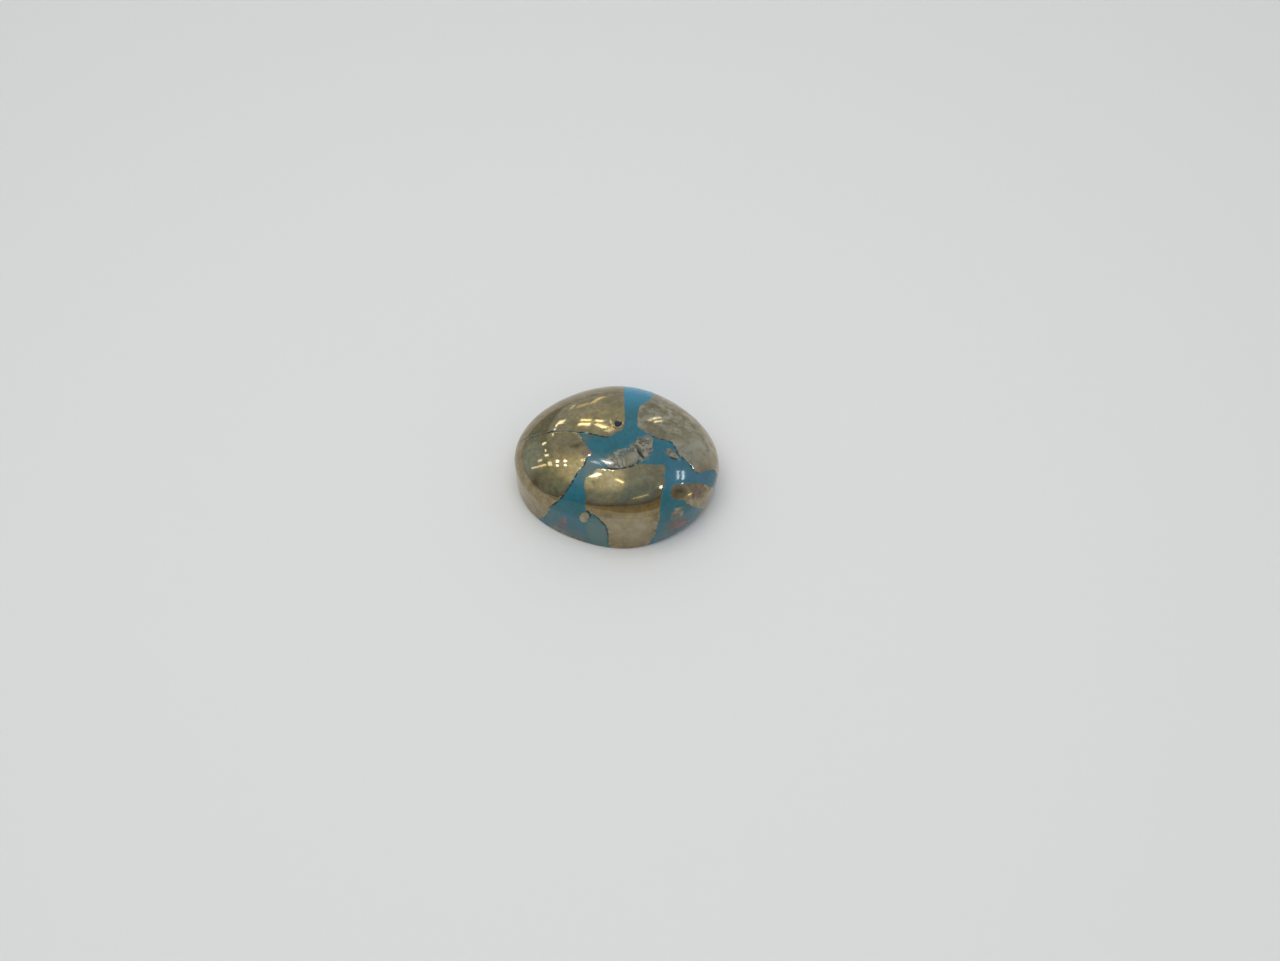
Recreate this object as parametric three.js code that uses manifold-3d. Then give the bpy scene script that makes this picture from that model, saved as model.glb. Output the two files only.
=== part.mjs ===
// A loose oval cabochon: turquoise grown through with pyrite, polished as one free-form stone.
// Units are millimetres. +Z is up through the dome, the long axis lies along X, the viewer stands
// at -Y, and the flat back rests on Z = 0. Bearings turn anticlockwise from +X, seen from above.
import * as THREE from "three";
import { mergeVertices } from "three/addons/utils/BufferGeometryUtils.js";
import Module from "manifold-3d";

// Driving dimensions of the form
const MEAN_RADIUS = 9.02;
const DOME_RISE = 4.5;
const GIRDLE_HEIGHT = 3.5;
const WALL_SQUARENESS = 2.2;
const BACK_BEVEL = 0.15;
const MEAN_UNDERCUT = 0.3;

// The girdle's outline departs from a circle in a few waves round the bearing
const OUTLINE_WAVES = [
  { count: 1, cosine: -0.47, sine: 0.39 },
  { count: 2, cosine: 0.84, sine: -0.28 },
  { count: 3, cosine: -0.13, sine: -0.07 },
  { count: 4, cosine: 0.17, sine: -0.01 },
];

// The wall leans in under the girdle at the right end, and stands nearly upright elsewhere
const UNDERCUT_WAVES = [
  { count: 1, cosine: 0.45, sine: 0 },
  { count: 2, cosine: 0.3, sine: 0 },
];

// Polishing leaves the broad pyrite patches a touch proud of the softer turquoise. Each swell fades
// over its reach from its plan point.
const SWELLS = {
  rearLeftPatch: { x: -4.1, y: 3.3, reach: 2.6, height: 0.06 },
  leftPatch: { x: -6.4, y: -3.0, reach: 2.6, height: 0.07 },
  frontPatch: { x: 0.9, y: -5.8, reach: 2.6, height: 0.07 },
  rearRightPatch: { x: 6.4, y: 2.2, reach: 2.6, height: 0.06 },
};

// Open cracks follow the patch borders over the dome, given as plan points
const CRACK_RADIUS = 0.09;
const CRACK_SIDES = 6;
const CRACK_STEP = 0.5;
const CRACKS = {
  left: [
    [-9.3, 1.3],
    [-7.9, 0.8],
    [-6.1, 0.8],
    [-4.3, 0.4],
    [-2.5, -0.1],
    [-0.6, -0.6],
  ],
  right: [
    [3.6, -0.3],
    [4.6, -0.7],
    [5.5, -0.9],
    [6.0, -1.7],
    [7.3, -2.9],
    [7.8, -3.3],
  ],
  middle: [
    [2.3, -1.9],
    [2.5, -2.7],
    [2.0, -3.4],
    [1.3, -3.8],
    [0.1, -4.0],
    [-1.2, -3.9],
  ],
  front: [
    [-3.0, -7.1],
    [-2.6, -7.3],
    [-2.5, -7.6],
  ],
};
const PIT = { x: 0.1, y: 1.0, radius: 0.3 };
const PIT_SUBDIVISIONS = 1;

// Fineness of the surface
const BEARINGS = 116;
const DOME_RINGS = 26;
const WALL_RINGS = 10;

// Corners closer than this are one corner
const MERGE_DISTANCE = 1e-4;

const FULL_TURN = 2 * Math.PI;
const QUARTER_TURN = Math.PI / 2;

function waved(mean, waves, bearing) {
  let value = mean;
  for (const { count, cosine, sine } of waves) {
    value += cosine * Math.cos(count * bearing) + sine * Math.sin(count * bearing);
  }
  return value;
}

function outlineRadius(bearing) {
  return waved(MEAN_RADIUS, OUTLINE_WAVES, bearing);
}

// The middle of the outline's bounding rectangle, which becomes the part's own centre
function outlineMiddle() {
  const box = new THREE.Box2();
  for (let i = 0; i < BEARINGS; i++) {
    const bearing = (i / BEARINGS) * FULL_TURN;
    const radius = outlineRadius(bearing);
    box.expandByPoint(new THREE.Vector2(radius * Math.cos(bearing), radius * Math.sin(bearing)));
  }
  return box.getCenter(new THREE.Vector2());
}

const MIDDLE = outlineMiddle();

function swellHeight(x, y) {
  let height = 0;
  for (const swell of Object.values(SWELLS)) {
    const distance = Math.hypot(x - swell.x, y - swell.y) / swell.reach;
    height += swell.height * Math.exp(-distance * distance);
  }
  return height;
}

// A point of the skin, moved so that the bounding rectangle is centred on the origin
function skinPoint(bearing, radius, height) {
  return new THREE.Vector3(
    radius * Math.cos(bearing) - MIDDLE.x,
    radius * Math.sin(bearing) - MIDDLE.y,
    height,
  );
}

// On the dome, fall runs from 0 at the summit to a quarter turn at the girdle
function domePoint(bearing, fall) {
  const point = skinPoint(
    bearing,
    outlineRadius(bearing) * Math.sin(fall),
    GIRDLE_HEIGHT + DOME_RISE * Math.cos(fall),
  );
  point.z += swellHeight(point.x, point.y) * Math.cos(fall);
  return point;
}

// Below the girdle the wall rounds in along a quarter of a superellipse, down to the back's bevel
function wallPoint(bearing, turn) {
  const undercut = waved(MEAN_UNDERCUT, UNDERCUT_WAVES, bearing);
  const power = 2 / WALL_SQUARENESS;
  return skinPoint(
    bearing,
    outlineRadius(bearing) - undercut * (1 - Math.cos(turn) ** power),
    BACK_BEVEL + (GIRDLE_HEIGHT - BACK_BEVEL) * (1 - Math.sin(turn) ** power),
  );
}

function backEdgePoint(bearing) {
  const undercut = waved(MEAN_UNDERCUT, UNDERCUT_WAVES, bearing);
  return skinPoint(bearing, outlineRadius(bearing) - undercut - BACK_BEVEL, 0);
}

function skinRings() {
  const rings = [];
  for (let i = 1; i <= DOME_RINGS; i++) {
    const fall = (i / DOME_RINGS) * QUARTER_TURN;
    rings.push((bearing) => domePoint(bearing, fall));
  }
  for (let i = 1; i <= WALL_RINGS; i++) {
    const turn = (i / WALL_RINGS) * QUARTER_TURN;
    rings.push((bearing) => wallPoint(bearing, turn));
  }
  rings.push(backEdgePoint);
  return rings;
}

// One closed skin: a fan at the summit, bands between the rings and a fan over the flat back
function stoneGeometry() {
  const rings = skinRings();
  const positions = [];
  for (const ring of rings) {
    for (let i = 0; i < BEARINGS; i++) {
      positions.push(...ring((i / BEARINGS) * FULL_TURN).toArray());
    }
  }
  const summit = rings.length * BEARINGS;
  const backCentre = summit + 1;
  positions.push(...domePoint(0, 0).toArray(), 0, 0, 0);

  const faces = [];
  const lastRing = (rings.length - 1) * BEARINGS;
  for (let i = 0; i < BEARINGS; i++) {
    const next = (i + 1) % BEARINGS;
    faces.push(summit, i, next);
    faces.push(backCentre, lastRing + next, lastRing + i);
    for (let start = 0; start < lastRing; start += BEARINGS) {
      const below = start + BEARINGS;
      faces.push(start + i, below + i, below + next);
      faces.push(start + i, below + next, start + next);
    }
  }
  const geometry = new THREE.BufferGeometry();
  geometry.setAttribute("position", new THREE.Float32BufferAttribute(positions, 3));
  geometry.setIndex(faces);
  return geometry;
}

// The dome's height over a plan point, used to lay cracks and the pit on the skin
function skinHeight(x, y) {
  const fromX = x + MIDDLE.x;
  const fromY = y + MIDDLE.y;
  const share = Math.hypot(fromX, fromY) / outlineRadius(Math.atan2(fromY, fromX));
  const cosine = Math.sqrt(Math.max(0, 1 - share * share));
  return GIRDLE_HEIGHT + (DOME_RISE + swellHeight(x, y)) * cosine;
}

function crackGeometry(planPoints) {
  const onSkin = planPoints.map(([x, y]) => new THREE.Vector3(x, y, skinHeight(x, y)));
  const path = new THREE.CatmullRomCurve3(onSkin);
  const section = new THREE.Shape();
  for (let i = 0; i < CRACK_SIDES; i++) {
    const angle = (i / CRACK_SIDES) * FULL_TURN;
    const move = i === 0 ? "moveTo" : "lineTo";
    section[move](CRACK_RADIUS * Math.cos(angle), CRACK_RADIUS * Math.sin(angle));
  }
  const steps = Math.round(path.getLength() / CRACK_STEP);
  return new THREE.ExtrudeGeometry(section, { steps, extrudePath: path });
}

function pitGeometry() {
  const geometry = new THREE.IcosahedronGeometry(PIT.radius, PIT_SUBDIVISIONS);
  geometry.translate(PIT.x, PIT.y, skinHeight(PIT.x, PIT.y));
  return geometry;
}

const wasm = await Module();
wasm.setup();

function solidOf(geometry) {
  const bare = geometry.clone();
  bare.deleteAttribute("normal");
  bare.deleteAttribute("uv");
  const merged = mergeVertices(bare, MERGE_DISTANCE);
  return new wasm.Manifold(
    new wasm.Mesh({
      numProp: 3,
      vertProperties: merged.attributes.position.array,
      triVerts: new Uint32Array(merged.index.array),
    }),
  );
}

function geometryOf(solid) {
  const mesh = solid.getMesh();
  const geometry = new THREE.BufferGeometry();
  geometry.setAttribute("position", new THREE.BufferAttribute(mesh.vertProperties, 3));
  geometry.setIndex(new THREE.BufferAttribute(mesh.triVerts, 1));
  geometry.computeVertexNormals();
  return geometry;
}

function makeStone() {
  let solid = solidOf(stoneGeometry()).subtract(solidOf(pitGeometry()));
  for (const planPoints of Object.values(CRACKS)) {
    solid = solid.subtract(solidOf(crackGeometry(planPoints)));
  }
  const material = new THREE.MeshStandardMaterial({
    color: 0x6f7768,
    roughness: 0.18,
    metalness: 0.4,
  });
  const stone = new THREE.Mesh(geometryOf(solid), material);
  stone.name = "stone";
  return stone;
}

const cabochon = new THREE.Group();
cabochon.add(makeStone());

export default cabochon;
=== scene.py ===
# A loose oval cabochon of turquoise grown through with brassy pyrite, lying on white paper.
# The form is worked out in millimetres and turned to metres as the mesh is made. +Z is up through
# the dome, the long axis lies along X and the photograph was taken from the -Y side, looking down.
import math

import bpy
import numpy as np
from mathutils import Matrix, Vector
from mathutils.bvhtree import BVHTree
from mathutils.kdtree import KDTree


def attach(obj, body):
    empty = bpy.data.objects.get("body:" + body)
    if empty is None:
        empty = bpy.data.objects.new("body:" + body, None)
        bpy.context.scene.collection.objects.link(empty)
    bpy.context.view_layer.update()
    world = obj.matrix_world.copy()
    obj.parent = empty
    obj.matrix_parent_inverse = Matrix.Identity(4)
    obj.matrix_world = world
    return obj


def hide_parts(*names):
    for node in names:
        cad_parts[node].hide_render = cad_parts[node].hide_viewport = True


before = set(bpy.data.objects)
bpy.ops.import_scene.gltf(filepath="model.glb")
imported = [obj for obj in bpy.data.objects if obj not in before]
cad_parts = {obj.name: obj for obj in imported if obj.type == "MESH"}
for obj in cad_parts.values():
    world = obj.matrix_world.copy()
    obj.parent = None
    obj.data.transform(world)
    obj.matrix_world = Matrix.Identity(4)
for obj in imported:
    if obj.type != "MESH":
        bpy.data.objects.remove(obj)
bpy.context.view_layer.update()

MM = 0.001
FULL_TURN = 2 * math.pi
QUARTER_TURN = math.pi / 2

# Driving dimensions of the form
MEAN_RADIUS = 9.02
DOME_RISE = 4.5
GIRDLE_HEIGHT = 3.5
WALL_SQUARENESS = 2.2
BACK_BEVEL = 0.15
MEAN_UNDERCUT = 0.3
OUTLINE_WAVES = ((1, -0.47, 0.39), (2, 0.84, -0.28), (3, -0.13, -0.07), (4, 0.17, -0.01))
UNDERCUT_WAVES = ((1, 0.45, 0.0), (2, 0.3, 0.0))

# Swells of the broad pyrite patches: x, y, reach and height
SWELLS = {
    "rear left": (-4.1, 3.3, 2.6, 0.06),
    "left": (-6.4, -3.0, 2.6, 0.07),
    "front": (0.9, -5.8, 2.6, 0.07),
    "rear right": (6.4, 2.2, 2.6, 0.06),
}

# Fine relief. The pyrite stands proud of the softer minerals by a step that rises over a span of
# signed distance. A crack's floor ends at a share of its half-width, and its half-width narrows to
# a share at both ends.
PYRITE_STEP = 0.012
PYRITE_STEP_SPAN = (-0.12, 0.14)
CRACK_DEPTH = 0.05
CRACK_FLOOR = 0.9
CRACK_END_WIDTH = 0.35

# Slow unevenness left by hand polishing. Each row is a share and two waves, which are multiplied. A
# wave is given by how fast it turns along x, y and z, and by its phase.
POLISH_HEIGHT = 0.006
POLISH_WAVES = (
    (0.7, (1.1, 0.5, 0.0, 0.8), (-0.3, 0.9, 0.4, 0.0)),
    (0.3, (2.3, -1.4, 0.0, 2.0), (1.1, 1.9, 1.0, 0.0)),
)

# The pit's wall, rim and painted shade, as shares of its radius, and the waves of its outline: how
# many go round the pit, how far they move it as a share of its radius, and their phase
PIT = {"pixel": (618, 423.4), "radius": 0.42, "depth": 0.25, "rim": 0.02}
PIT_WALL = (0.35, 1.0)
PIT_RIM_PLACE = 1.2
PIT_RIM_SPREAD = 0.25
PIT_SHADE_SPAN = (0.6, 0.95)
PIT_WAVES = ((3, 0.12, 0.6), (5, 0.07, 0.0))

# A station counts 0 at the summit, 1 at the girdle, 2 at the foot of the wall and 3 at the back's
# centre. The reach is how far from the summit each of these lies on the unrolled surface.
BEVEL_END = 2.02
STATIONS = (0, 1, 2, 3)
STATION_REACH = (0.0, 10.9, 14.6, 23.0)
LAPPED_BACK = (1.97, BEVEL_END)
BEARINGS = 520
DOME_RINGS = 110
WALL_RINGS = 34
BEVEL_RINGS = 2
BACK_RINGS = 10

# The photograph's frame and camera
FRAME_WIDTH = 1280
FRAME_HEIGHT = 961
FIELD_OF_VIEW = math.radians(39.6)
CAMERA_ELEVATION = math.radians(55)
PIXELS_PER_MM = 10
OUTLINE_POLE_PIXEL = (622.97, 482.61)
STONE_MIDDLE_PIXEL = (617, 467)
RIM_TRIES = 12
RIM_STEP = 0.01
FOCAL_PIXELS = FRAME_WIDTH / 2 / math.tan(FIELD_OF_VIEW / 2)

# Mineral patches. Each outline goes once round its patch: first the points seen in the photograph,
# as pixels of its frame, then the hidden ones, as a bearing in degrees and a station. Haze says how
# pale and dull a patch of pyrite is, from 0 to 1.
PYRITE = {
    "rear left": {
        "seen": [
            (624, 388), (624, 400), (624.5, 412), (625, 420), (623, 428), (617, 432), (610, 436.5),
            (600, 436), (590, 433.5), (572, 431.4), (553, 431.3), (540, 434.7), (528, 438),
            (520, 442),
        ],
        "hidden": [
            (174.5, 1.25), (178, 2.0), (174, 2.3), (150, 2.5), (120, 2.42), (98, 2.3), (91, 2.0),
            (88, 1.2),
        ],
        "haze": 0.1,
    },
    "left": {
        "seen": [
            (520, 442.6), (528, 438.6), (540, 435.3), (553, 431.9), (572, 432), (577, 433.5),
            (580, 436), (586, 445), (591, 453), (587, 457.5), (584, 464.5), (577.5, 472.5),
            (570.5, 484.5), (564.5, 493.5), (556.5, 502), (548, 512), (542, 517.5),
        ],
        "hidden": [(208, 1.9), (207, 2.2), (194, 2.4), (182, 2.3), (170, 2.0), (172, 1.25)],
        "haze": 0.0,
    },
    "rear right": {
        "seen": [
            (654, 395), (650, 399), (643, 404), (640, 406), (638.5, 413), (637.5, 421), (639, 428),
            (645, 431.5), (652, 435), (660, 440), (668, 440.5), (673, 444), (677, 451), (680, 456),
            (687, 461), (694, 470), (698, 473), (706, 471), (714, 469.5),
        ],
        "hidden": [(350, 1.2), (352, 2.0), (5, 2.3), (28, 2.45), (52, 2.3), (61, 2.0), (64, 1.2)],
        "haze": 1.0,
    },
    "middle": {
        "seen": [
            (586, 478), (592, 473), (600, 469), (612, 469.6), (625, 469), (634, 466), (645, 463.6),
            (656, 465), (664, 465), (664.5, 475), (664, 486), (661.5, 497), (660, 510), (656, 530),
            (651, 540), (648, 544),
        ],
        "hidden": [(288, 2.0), (284, 2.3), (273, 2.4), (264, 2.25), (261, 2.0)],
        "seen_after": [
            (608.5, 544), (608, 533), (604, 524), (597, 517), (590.5, 515), (586, 510), (585, 503),
            (586, 496), (584.2, 488),
        ],
        "haze": 0.25,
    },
    "right": {
        "seen": [(672, 487), (677, 484), (690, 483), (703, 484), (709, 486.5), (713, 489)],
        "hidden": [(345, 1.6), (343, 2.0), (338, 2.2), (333, 2.1), (331, 1.7)],
        "seen_after": [(703, 509.5), (695, 507), (684, 501), (678, 499.5), (671.5, 497)],
        "haze": 0.5,
    },
    "round grain": {
        "seen": [
            (584, 512.6), (588, 514), (589, 518), (587.5, 521.5), (583.5, 522.5), (580, 520),
            (579.4, 516),
        ],
        "haze": 0.7,
    },
    "middle grain": {
        "seen": [
            (625, 456), (630, 452), (637, 451), (639.5, 455), (637, 461), (632, 465),
            (625, 466.5), (623.5, 461),
        ],
        "haze": 0.8,
    },
    "back": {
        "hidden": [(20, 2.5), (50, 2.55), (85, 2.6), (95, 2.75), (60, 2.85), (20, 2.8), (5, 2.65)],
        "haze": 0.4,
    },
}

GREY_MATRIX = {
    "middle": {
        "seen": [
            (605, 458), (612, 453), (622, 450), (630, 446), (635, 441.5), (641, 437), (650, 436),
            (652.5, 441), (651, 452), (647, 458.5), (640, 462), (632, 466), (622, 467.6),
            (608, 466.5),
        ],
    },
    "right fleck": {
        "seen": [(665, 450), (671, 449.5), (676, 454), (678.5, 459), (672, 458), (667, 455)],
    },
    "lower right": {
        "seen": [(671, 519), (673, 511), (679, 507), (683, 510), (682, 517), (676, 521)],
    },
    # The foot is grey matrix along the front's bottom edge, partly painted shade where the wall
    # turns under
    "foot": {
        "seen": [(549, 524), (560, 530), (575, 537), (590, 543)],
        "hidden": [(252, 1.92), (253, 2.1), (236, 2.2), (217, 2.1)],
    },
    "back": {
        "hidden": [(225, 2.35), (262, 2.5), (300, 2.45), (315, 2.6), (270, 2.68), (230, 2.6)],
    },
}

PINK_MATRIX = {
    "lower right": {
        "seen": [
            (667, 529), (671, 522), (680, 519.5), (688, 520), (686, 525), (677, 529), (671, 532),
        ],
    },
    "lower left": {
        "seen": [(559.5, 527), (561, 521), (565, 518), (566.5, 521), (564.5, 526)],
    },
    "right ridge": {
        "seen": [(690, 494), (696, 490.5), (703, 487.6), (706, 489.5), (701, 493), (694, 496.5)],
    },
}

PALE_TURQUOISE = {
    "front": {
        "seen": [(592, 518), (599, 520), (604, 526), (607, 535), (607.5, 543)],
        "hidden": [(260, 2.1), (252, 2.15), (248, 2.0)],
        "seen_after": [(590, 541), (587, 532), (587, 524)],
    },
}

# Small spots of pink matrix: a pixel and a radius in millimetres
PINK_SPOTS = (((586.5, 453.2), 0.32), ((703, 488.5), 0.3))

# Spots where the pyrite is bleached (above 0) or stained (below 0), one dark spot of them being
# painted shade in a small pit: pixel, reach in millimetres and strength
PYRITE_TONES = (
    ((703, 450), 1.5, 1.0),
    ((690, 432), 0.9, -0.15),
    ((681, 449), 0.9, 0.8),
    ((530, 470), 0.7, 0.3),
    ((672, 452), 0.7, 0.5),
    ((651, 406), 1.3, -0.35),
    ((577, 445), 0.45, -0.8),
    ((675, 491), 0.5, -0.7),
    ((682, 491.5), 0.6, -0.7),
    ((694, 487), 0.6, -0.5),
    ((630, 527), 2.0, 0.35),
    ((606, 516), 0.4, -0.5),
    ((656.5, 518), 0.7, -0.55),
    ((654, 531), 0.6, -0.45),
    ((632, 458), 0.6, 0.5),
    # Painted shade in a small pit
    ((593, 482), 0.25, -0.9),
    ((536, 482), 0.5, -0.5),
    ((552, 492), 0.8, -0.3),
    ((701, 499), 1.2, -0.4),
)

# Spots where the turquoise is steel blue (above 0) or grey (below 0): pixel, reach in millimetres
# and strength
TURQUOISE_TONES = (
    ((679, 472), 2.0, 0.8),
    ((705, 477), 1.6, 1.0),
    ((650, 455), 0.8, 0.4),
    ((690, 530), 1.6, 0.4),
    # Painted reflection: a grey sheen round the highlight beside the summit
    ((590, 468), 0.9, -0.8),
    ((584, 440), 0.6, -0.6),
    ((558, 529), 0.8, -0.8),
    ((568, 534), 0.8, -0.8),
    ((580, 538), 1.0, -0.9),
    ((661, 537), 0.9, -0.5),
    ((669, 534), 0.7, -0.5),
)

# Open cracks along patch borders: half-width in millimetres, then pixels
CRACKS = {
    "left seam": (0.07, [
        (524, 440), (532, 436.9), (540, 434.8), (553, 431.8), (563, 431.5), (572, 431.7),
    ]),
    "rear left edge": (0.1, [
        (572, 431.7), (581, 432.4), (590, 433.7), (600, 436.2), (606, 437.2), (611, 437.2),
    ]),
    "rear right edge": (0.09, [
        (646, 432), (656, 437.8), (668, 440.8), (673, 444), (677, 451), (680, 456), (687, 461.5),
        (694, 470.5), (698, 473.5),
    ]),
    "middle": (0.1, [(645, 457.5), (640, 461.5), (635, 464.5), (630, 466.4), (622, 468.2)]),
    "middle fork": (0.16, [(635.5, 446), (638.5, 450), (641, 454.5), (642.5, 457.5), (640.5, 461)]),
    "middle upper": (0.05, [(622, 450.5), (629, 447.8), (636, 446.2)]),
    "round grain": (0.1, [(583.5, 510.5), (588, 511.5), (590.3, 514.5), (590, 519)]),
    "middle front": (0.08, [(590, 513), (597, 517.5), (604, 524.5), (607.5, 533), (608, 543)]),
    "left edge": (0.08, [
        (587, 458), (584, 465), (577.5, 473), (570.5, 485), (564.5, 494), (556.5, 502.5),
        (548, 512.5),
    ]),
    "left upper edge": (0.05, [(577, 433), (583, 440), (588, 448)]),
    "middle top edge": (0.07, [(600, 468.3), (612, 468.8), (622, 468.6)]),
    "right fleck": (0.07, [(668, 456), (673, 458.5), (679, 459.5)]),
}


# The form

def waved(mean, waves, bearing):
    value = np.full(np.shape(bearing), float(mean))
    for count, cosine, sine in waves:
        value = value + cosine * np.cos(count * bearing) + sine * np.sin(count * bearing)
    return value


def outline_radius(bearing):
    return waved(MEAN_RADIUS, OUTLINE_WAVES, bearing)


def undercut(bearing):
    return waved(MEAN_UNDERCUT, UNDERCUT_WAVES, bearing)


def outline_middle():
    """The middle of the outline's bounding rectangle, which is the part's own centre."""
    bearing = np.arange(BEARINGS) / BEARINGS * FULL_TURN
    radius = outline_radius(bearing)
    x = radius * np.cos(bearing)
    y = radius * np.sin(bearing)
    return (x.min() + x.max()) / 2, (y.min() + y.max()) / 2


MIDDLE = outline_middle()


def swell_height(x, y):
    height = np.zeros(np.shape(x))
    for swell_x, swell_y, reach, rise in SWELLS.values():
        distance = np.hypot(x - swell_x, y - swell_y) / reach
        height = height + rise * np.exp(-distance * distance)
    return height


def skin(bearing, station):
    """Points of the smooth polished surface, one row each."""
    outline = outline_radius(bearing)
    fall = np.clip(station, 0, 1) * QUARTER_TURN
    turn = np.clip(station - 1, 0, 1) * QUARTER_TURN
    power = 2 / WALL_SQUARENESS
    lean = undercut(bearing) * (1 - np.maximum(np.cos(turn), 0) ** power)
    drop = (GIRDLE_HEIGHT - BACK_BEVEL) * np.maximum(np.sin(turn), 0) ** power
    bevel = np.clip((station - 2) / (BEVEL_END - 2), 0, 1) * BACK_BEVEL
    inward = 1 - np.clip((station - BEVEL_END) / (3 - BEVEL_END), 0, 1)
    radius = (outline * np.sin(fall) - lean - bevel) * inward
    x = radius * np.cos(bearing) - MIDDLE[0]
    y = radius * np.sin(bearing) - MIDDLE[1]
    rise = (DOME_RISE + swell_height(x, y)) * np.cos(fall)
    return np.stack([x, y, GIRDLE_HEIGHT + rise - drop - bevel], axis=-1)


def place_of(point):
    """The bearing and station of a point on the dome or the wall."""
    x = point[0] + MIDDLE[0]
    y = point[1] + MIDDLE[1]
    bearing = math.atan2(y, x)
    if point[2] >= GIRDLE_HEIGHT:
        share = math.hypot(x, y) / float(outline_radius(bearing))
        return bearing, math.asin(min(1, share)) / QUARTER_TURN
    drop = 1 - (point[2] - BACK_BEVEL) / (GIRDLE_HEIGHT - BACK_BEVEL)
    return bearing, 1 + math.asin(min(1, max(0, drop)) ** (WALL_SQUARENESS / 2)) / QUARTER_TURN


def to_plane(bearing, station):
    """The surface unrolled to a plane round the summit, in which outlines are drawn."""
    reach = np.interp(station, STATIONS, STATION_REACH)
    return np.stack([reach * np.cos(bearing), reach * np.sin(bearing)], axis=-1)


def from_plane(points):
    reach = np.hypot(points[:, 0], points[:, 1])
    return np.arctan2(points[:, 1], points[:, 0]), np.interp(reach, STATION_REACH, STATIONS)


# The mesh

def ring_stations():
    dome = np.arange(1, DOME_RINGS + 1) / DOME_RINGS
    wall = 1 + np.arange(1, WALL_RINGS + 1) / WALL_RINGS
    bevel = 2 + (BEVEL_END - 2) * np.arange(1, BEVEL_RINGS + 1) / BEVEL_RINGS
    back = BEVEL_END + (3 - BEVEL_END) * np.arange(1, BACK_RINGS) / BACK_RINGS
    return np.concatenate([dome, wall, bevel, back])


def skin_places():
    """Bearing and station of every vertex: the rings, then the summit and the back's centre."""
    stations = ring_stations()
    bearings = np.arange(BEARINGS) / BEARINGS * FULL_TURN
    bearing = np.concatenate([np.tile(bearings, len(stations)), [0, 0]])
    station = np.concatenate([np.repeat(stations, BEARINGS), [0, 3]])
    return bearing, station


def skin_faces(ring_count):
    summit = ring_count * BEARINGS
    back_centre = summit + 1
    last = summit - BEARINGS
    faces = []
    for i in range(BEARINGS):
        after = (i + 1) % BEARINGS
        faces.append((summit, i, after))
        faces.append((back_centre, last + after, last + i))
        for start in range(0, last, BEARINGS):
            below = start + BEARINGS
            faces.append((start + i, below + i, below + after, start + after))
    return faces


# The photograph's camera

def camera_axes():
    forward = Vector((0, math.cos(CAMERA_ELEVATION), -math.sin(CAMERA_ELEVATION)))
    right = Vector((1, 0, 0))
    return right, right.cross(forward), forward


def camera_place():
    """Where the camera stands, in millimetres, so that the outline's pole falls on its pixel."""
    right, up, forward = camera_axes()
    distance = FOCAL_PIXELS / PIXELS_PER_MM
    target = Vector((-MIDDLE[0], -MIDDLE[1], 0))
    aside = (FRAME_WIDTH / 2 - OUTLINE_POLE_PIXEL[0]) / PIXELS_PER_MM
    above = (OUTLINE_POLE_PIXEL[1] - FRAME_HEIGHT / 2) / PIXELS_PER_MM
    return target + right * aside + up * above - forward * distance


def pixel_ray(pixel):
    right, up, forward = camera_axes()
    aside = (pixel[0] - FRAME_WIDTH / 2) / FOCAL_PIXELS
    above = (FRAME_HEIGHT / 2 - pixel[1]) / FOCAL_PIXELS
    return (forward + right * aside + up * above).normalized()


def seen_at(tree, pixel):
    """The surface point at a pixel; a pixel just off the stone is drawn in to its rim."""
    pixel = Vector(pixel)
    middle = Vector(STONE_MIDDLE_PIXEL)
    for _ in range(RIM_TRIES):
        point = tree.ray_cast(camera_place(), pixel_ray(pixel))[0]
        if point is not None:
            return point
        pixel = pixel.lerp(middle, RIM_STEP)
    raise ValueError(f"pixel {pixel} misses the stone")


def skin_normal(point, step=0.002):
    """The outward direction square to the smooth form at a surface point."""
    bearing, station = place_of(point)
    round_stone = skin(bearing + step, station) - skin(bearing - step, station)
    downward = skin(bearing, station + step) - skin(bearing, station - step)
    return Vector(np.cross(downward, round_stone)).normalized()


# Outlines on the surface

def smooth_curve(points, closed, spacing=0.08):
    """A Catmull-Rom curve through plane points, sampled about every spacing."""
    count = len(points)
    samples = []
    for i in range(count if closed else count - 1):
        if closed:
            a, b, c, d = (points[(i + k) % count] for k in (-1, 0, 1, 2))
        else:
            a, b, c, d = (points[min(max(i + k, 0), count - 1)] for k in (-1, 0, 1, 2))
        steps = max(2, int(np.linalg.norm(c - b) / spacing))
        for t in np.arange(steps) / steps:
            bend = (2 * a - 5 * b + 4 * c - d) * t * t + (3 * b - a - 3 * c + d) * t ** 3
            samples.append((2 * b + (c - a) * t + bend) / 2)
    if not closed:
        samples.append(points[-1])
    return np.array(samples)


def plane_points(tree, pixels):
    places = [place_of(seen_at(tree, pixel)) for pixel in pixels]
    return [to_plane(bearing, station) for bearing, station in places]


def outline_of(tree, patch):
    hidden = patch.get("hidden", [])
    points = plane_points(tree, patch.get("seen", []))
    points += [to_plane(math.radians(bearing), station) for bearing, station in hidden]
    points += plane_points(tree, patch.get("seen_after", []))
    return smooth_curve(points, closed=True)


def inside(points, outline):
    """Which plane points lie inside a closed outline."""
    result = np.zeros(len(points), bool)
    x = points[:, 0]
    y = points[:, 1]
    low = outline.min(axis=0)
    high = outline.max(axis=0)
    near = (x > low[0]) & (x < high[0]) & (y > low[1]) & (y < high[1])
    x = x[near]
    y = y[near]
    crossed = np.zeros(len(x), bool)
    for (x0, y0), (x1, y1) in zip(outline, np.roll(outline, -1, axis=0)):
        if y0 != y1:
            spans = (y0 > y) != (y1 > y)
            crossed ^= spans & (x < x0 + (y - y0) * (x1 - x0) / (y1 - y0))
    result[near] = crossed
    return result


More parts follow.
